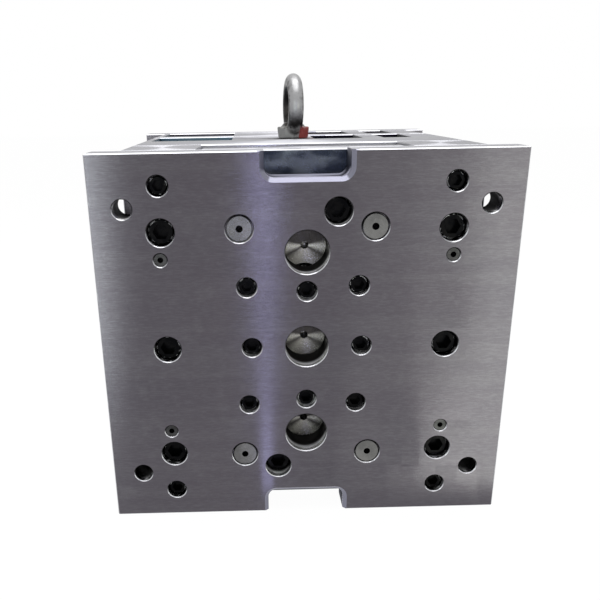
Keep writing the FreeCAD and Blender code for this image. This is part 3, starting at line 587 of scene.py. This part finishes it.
def pin_finish(node, clean, filmed, side):
    """Hardened and ground: its own colour on the ends, painted shade where their centre is
    drilled, and another round the side."""
    material, tree, shader, place = new_finish(node.replace("_", " ") + " steel", Metallic=1.0)
    marks = effect(tree, handling, Position=place, Size=60.0)
    ground = effect(tree, grinding, Position=place, Pitch=PIN_GRIND_PITCH)
    sunk = step(tree, behind(tree, place, corners(node)[0].y), *DRILLED_BEHIND_FACE)
    # Painted shade on the floor of the drilled centre.
    drilled = times(tree, sunk, step(tree, facing(tree)["Y"], -0.3, -0.5))
    end = coats(tree, clean, (marks["Film"], filmed),
                (times(tree, ground["Sparkle"], 0.2), PALE_STEEL), (drilled, PAINTED_SHADE_STEEL))
    square = step(tree, squareness(tree), 0.35, 0.6)
    feed(tree, shader, "Base Color", blend_colour(tree, square, side, end))
    feed(tree, shader, "Roughness", dulled(tree, marks["Smudge"], clean=0.24, dull=0.38))
    bump(tree, shader, ground["Height"], distance=0.00004, strength=0.5)
    return material


def black_oxide_finish():
    """Socket screws: black, a little rubbed, with bright nicks on the corners that also serve as
    painted glints.
    """
    material, tree, shader, place = new_finish("black oxide", Metallic=1.0)
    marks = effect(tree, handling, Position=place, Size=110.0)
    rubbed = step(tree, noise(tree, place, scale=420.0, detail=5.0, rough=0.7), 0.64, 0.8)
    nicks_and_glints = times(tree, broken_edge(tree, squareness(tree), low=0.4, high=0.5),
                   step(tree, noise(tree, place, scale=170.0, detail=2.0, rough=0.5), 0.5, 0.6))
    feed(tree, shader, "Base Color", coats(tree, OXIDE, (marks["Film"], OXIDE_FILM),
                                           (times(tree, rubbed, 0.4), OXIDE_RUBBED),
                                           (nicks_and_glints, OXIDE_NICK_GLINT)))
    feed(tree, shader, "Roughness", dulled(tree, marks["Smudge"], clean=0.24, dull=0.36))
    pores = noise(tree, place, scale=1500.0, detail=3.0, rough=0.6)
    bump(tree, shader, pores, distance=0.00004, strength=0.5)
    return material


def bronze_finish():
    material, tree, shader, place = new_finish("bronze", Metallic=1.0)
    marks = effect(tree, handling, Position=place, Size=70.0)
    feed(tree, shader, "Base Color", blend_colour(tree, marks["Film"], BRONZE, BRONZE_FILM))
    feed(tree, shader, "Roughness", dulled(tree, marks["Smudge"], clean=0.25, dull=0.4))
    pores = noise(tree, place, scale=900.0, detail=3.0, rough=0.6)
    bump(tree, shader, pores, distance=0.00004, strength=0.4)
    return material


def spring_finish():
    """Painted die spring, chipped to the steel here and there."""
    material, tree, shader, place = new_finish("painted die spring", Coat_Weight=0.3)
    marks = effect(tree, handling, Position=place, Size=80.0)
    chips = step(tree, noise(tree, place, scale=260.0, detail=6.0, rough=0.7), 0.66, 0.7)
    feed(tree, shader, "Base Color", coats(tree, SPRING_BLUE, (marks["Film"], SPRING_BLUE_FILM),
                                           (chips, SPRING_CHIPPED)))
    feed(tree, shader, "Metallic", chips)
    feed(tree, shader, "Roughness", dulled(tree, marks["Smudge"], clean=0.35, dull=0.5))
    pores = noise(tree, place, scale=700.0, detail=3.0, rough=0.6)
    bump(tree, shader, pores, distance=0.00006, strength=0.4)
    return material


def forged_finish():
    """Forged eye: rubbed bright round the outside of the ring, scale inside it and low down,
    and a dab of red paint on one side of the collar."""
    material, tree, shader, place = new_finish("forged eye steel")
    marks = effect(tree, handling, Position=place, Size=60.0)
    pitted = noise(tree, place, scale=380.0, detail=6.0, rough=0.65)
    lumps = noise(tree, place, scale=110.0, detail=4.0, rough=0.6)
    ragged = calc(tree, "MULTIPLY_ADD", lumps, 0.014, -0.007)
    away = vector_calc(tree, "SUBTRACT", place, eye_centre)
    flat = vector_calc(tree, "MULTIPLY", away, (0, 1, 1))
    out = calc(tree, "ADD", vector_calc(tree, "LENGTH", flat), ragged)
    height = calc(tree, "ADD", split(tree, place)["Z"], ragged)
    rubbed = times(tree, step(tree, out, 0.036, 0.042),
                   step(tree, height, eye_centre.z - 0.024, eye_centre.z - 0.006))
    collar = step(tree, height, top + 0.019, top + 0.014)
    across = calc(tree, "ADD", split(tree, place)["X"], times(tree, ragged, 0.4))
    painted = times(tree, collar, step(tree, across, 0.007, 0.0085))
    pits = step(tree, pitted, 0.58, 0.7, 0.0, 0.5)
    feed(tree, shader, "Base Color", coats(tree, FORGED_STEEL, (marks["Film"], FORGED_FILM),
                                           (rubbed, FORGED_RUBBED), (collar, COLLAR_STEEL),
                                           (pits, SCALE_PIT), (painted, EYE_PAINT)))
    feed(tree, shader, "Metallic", calc(tree, "SUBTRACT", 1.0, painted))
    feed(tree, shader, "Roughness", dulled(tree, marks["Film"], clean=0.3, dull=0.48))
    bump(tree, shader, pitted, distance=0.00014, strength=0.5)
    return material


# ---------------------------------------------------------------- new pieces

def pick(*pieces):
    """Selects the given pieces alone, the first of them active."""
    bpy.ops.object.select_all(action="DESELECT")
    for piece in pieces:
        piece.select_set(True)
    bpy.context.view_layer.objects.active = pieces[0]


def finish_with(piece, material):
    piece.data.materials.clear()
    piece.data.materials.append(material)


def blank(kind, height, **sizes):
    """A turned or bent blank on the eye's own upright axis."""
    bpy.ops.object.select_all(action="DESELECT")
    getattr(bpy.ops.mesh, kind)(location=(eye_centre.x, eye_centre.y, height), **sizes)
    return bpy.context.object


def make_eye(eye_steel):
    """Drop-forged eye: ring, thick collar and shank run into each other with soft corners."""
    pick(blank("primitive_torus_add", eye_centre.z, major_radius=EYE_RING_RADIUS,
               minor_radius=EYE_BAR_RADIUS, major_segments=128, minor_segments=40,
               rotation=(0, math.pi / 2, EYE_TURN)),
         blank("primitive_cone_add", top + EYE_NECK_ABOVE_PLATE, vertices=96, radius1=0.019,
               radius2=0.0125, depth=EYE_NECK_TALL),
         blank("primitive_cone_add", top + EYE_COLLAR_ABOVE_PLATE, vertices=10, radius1=0.0225,
               radius2=0.0243, depth=EYE_COLLAR_TALL),
         blank("primitive_cylinder_add", (top + eye_low.z) / 2, vertices=64,
               radius=EYE_SHANK_RADIUS, depth=top - eye_low.z - EYE_SHANK_PLAY))
    bpy.ops.object.join()
    eye = bpy.context.object
    eye.name = "forged_eye"
    bpy.ops.object.transform_apply(location=True, rotation=True, scale=True)
    weld = eye.modifiers.new("weld", "REMESH")
    weld.mode = "VOXEL"
    weld.voxel_size = EYE_WELD_GRAIN
    soften = eye.modifiers.new("soften", "SMOOTH")
    soften.factor = 0.5
    soften.iterations = 10
    pick(eye)
    for modifier in list(eye.modifiers):
        bpy.ops.object.modifier_apply(modifier=modifier.name)
    bpy.ops.object.shade_smooth()
    finish_with(eye, eye_steel)
    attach(eye, "ejector_half")
    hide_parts("eye_bolt")


def make_springs(paint):
    """Return springs, which ride with the ejector set."""
    springs = bpy.data.objects.new("coiled_springs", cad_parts["return_springs"].data.copy())
    bpy.context.scene.collection.objects.link(springs)
    finish_with(springs, paint)
    pick(springs)
    bpy.ops.object.mode_set(mode="EDIT")
    bpy.ops.mesh.select_all(action="SELECT")
    bpy.ops.mesh.remove_doubles(threshold=1e-6)
    bpy.ops.mesh.normals_make_consistent(inside=False)
    bpy.ops.object.mode_set(mode="OBJECT")
    bpy.ops.object.shade_smooth_by_angle(angle=math.radians(35))
    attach(springs, "ejector_half")
    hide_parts("return_springs")
    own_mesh(springs)


# ---------------------------------------------------------------- dressing the nodes

def dress(material, *nodes):
    for node in nodes:
        finish_with(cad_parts[node], material)


for node in ("bottom_clamp_plate", "top_clamp_plate", "left_spacer_block", "right_spacer_block",
             "core_plate", "cavity_plate", "ejector_retainer_plate"):
    dress(plate_finish(node, node in ("core_plate", "cavity_plate")), node)
for node in ("leader_pins", "return_pins", "guide_bushes", "locating_ring", "sprue_bush",
             "support_pillars", "end_support_pillars", "stop_discs"):
    dress(pin_finish(node, *HARD_PIN), node)
dress(turned_finish("ejector_base_plate"), "ejector_base_plate")
dress(pin_finish("ejector_guide_pins", *GUIDE_PIN), "ejector_guide_pins")
dress(pin_finish("locating_dowels", *DOWEL), "locating_dowels")
dress(black_oxide_finish(), "clamp_screws", "spacer_screws", "pillar_screws",
      "end_pillar_screws", "ejector_plate_screws", "top_clamp_screws", "locating_ring_screws")
dress(bronze_finish(), "ejector_guide_bushes")
make_springs(spring_finish())
make_eye(forged_finish())


# ---------------------------------------------------------------- floor, air and lamps

AIR_LIGHT = 0.45
FLOOR_GLOW = 1.03
FLOOR_GLOW_SHARE = 0.94
WHITE_LIGHT = (1, 1, 1)
LEFT_LIGHT = (0.89, 1.0, 0.95)
RIGHT_LIGHT = (0.95, 1.0, 0.87)
STREAK_LIGHT = (0.60, 0.63, 1.0)
COVE_FAR = 1.2

# Where each cove shows across the plate, how near to the plate its table starts, the height of
# its upright, the brightness of the table and of the upright, and its colour.
COVES = (
    ("left outer cove", -0.36, -0.25, 0.4, 0.7, 3.9, 5.6, LEFT_LIGHT),
    ("left inner cove", -0.25, -0.222, 0.4, 0.7, 0.4, 1.4, LEFT_LIGHT),
    ("right inner cove", 0.06, 0.13, 0.05, 0.7, 0.25, 0.25, RIGHT_LIGHT),
    ("right middle cove", 0.13, 0.2, 0.05, 0.7, 0.8, 0.6, RIGHT_LIGHT),
    ("right outer cove", 0.2, 0.36, 0.03, 0.7, 2.4, 1.9, RIGHT_LIGHT),
    ("streak cove", -0.055, -0.046, 0.05, 0.8, 2.6, 10.0, STREAK_LIGHT),
)


def seen_directly(tree):
    """1 for what the lens, mirrors and glass see."""
    path = put(tree, "ShaderNodeLightPath").outputs
    return calc(tree, "MAXIMUM", path["Is Camera Ray"],
                calc(tree, "MAXIMUM", path["Is Glossy Ray"], path["Is Transmission Ray"]))


def make_air():
    world = bpy.data.worlds.new("air")
    world.use_nodes = True
    tree = world.node_tree
    back = tree.nodes["Background"]
    back.inputs["Color"].default_value = (1, 1, 1, 1)
    feed(tree, back, "Strength", calc(tree, "MULTIPLY_ADD", seen_directly(tree), 1 - AIR_LIGHT,
                                      AIR_LIGHT))
    bpy.context.scene.world = world


def make_floor():
    bpy.ops.mesh.primitive_plane_add(size=24, location=(0, 0, cad_box[0].z - 0.0004))
    floor = bpy.context.object
    floor.name = "floor"
    material = bpy.data.materials.new("pale floor")
    material.use_nodes = True
    tree = material.node_tree
    shader = tree.nodes["Principled BSDF"]
    shader.inputs["Base Color"].default_value = FLOOR_GREY
    shader.inputs["Roughness"].default_value = 0.9
    glow = put(tree, "ShaderNodeEmission")
    glow.inputs["Strength"].default_value = FLOOR_GLOW
    mix = put(tree, "ShaderNodeMixShader")
    feed(tree, mix, 0, times(tree, seen_directly(tree), FLOOR_GLOW_SHARE))
    feed(tree, mix, 1, shader.outputs[0])
    feed(tree, mix, 2, glow.outputs[0])
    feed(tree, tree.nodes["Material Output"], "Surface", mix.outputs[0])
    floor.data.materials.append(material)


def soft_lamp(name, place, turn, wide, tall, bright, colour, shown=False):
    """A flat soft lamp, as bright over its whole area whatever its size."""
    data = bpy.data.lights.new(name, "AREA")
    data.shape = "RECTANGLE"
    data.size = wide
    data.size_y = tall
    data.energy = math.pi * bright * wide * tall
    data.color = colour
    light = bpy.data.objects.new(name, data)
    light.location = place
    light.rotation_euler = turn
    light.visible_camera = shown
    bpy.context.scene.collection.objects.link(light)


def cove(name, start, end, near, tall, low_bright, high_bright, colour):
    """A light table on the floor in front of the mould, with an upright panel at its far end.
    It shows in the ground face between the two given places across the plate."""
    lens = bpy.context.scene.camera.location
    reach = front - lens.y
    across = (start + end) / 2
    lean = (across - lens.x) / reach
    turn = math.atan(lean)
    floor_z = cad_box[0].z + 0.003
    halfway = (near + COVE_FAR) / 2
    soft_lamp(name + " table", (across + lean * halfway, front - halfway, floor_z),
              (math.pi, 0, turn), (end - start) * (1 + halfway / reach),
              (COVE_FAR - near) * math.hypot(1, lean), low_bright, colour)
    soft_lamp(name + " upright", (across + lean * COVE_FAR, front - COVE_FAR, floor_z + tall / 2),
              (math.pi / 2, 0, turn), (end - start) * (1 + COVE_FAR / reach), tall, high_bright,
              colour)


make_air()
make_floor()
soft_lamp("overhead soft box", (0, -0.2, 2.6), (-0.086, 0, 0), 2.2, 2.2, 2.96, WHITE_LIGHT,
          shown=True)
for row in COVES:
    cove(*row)
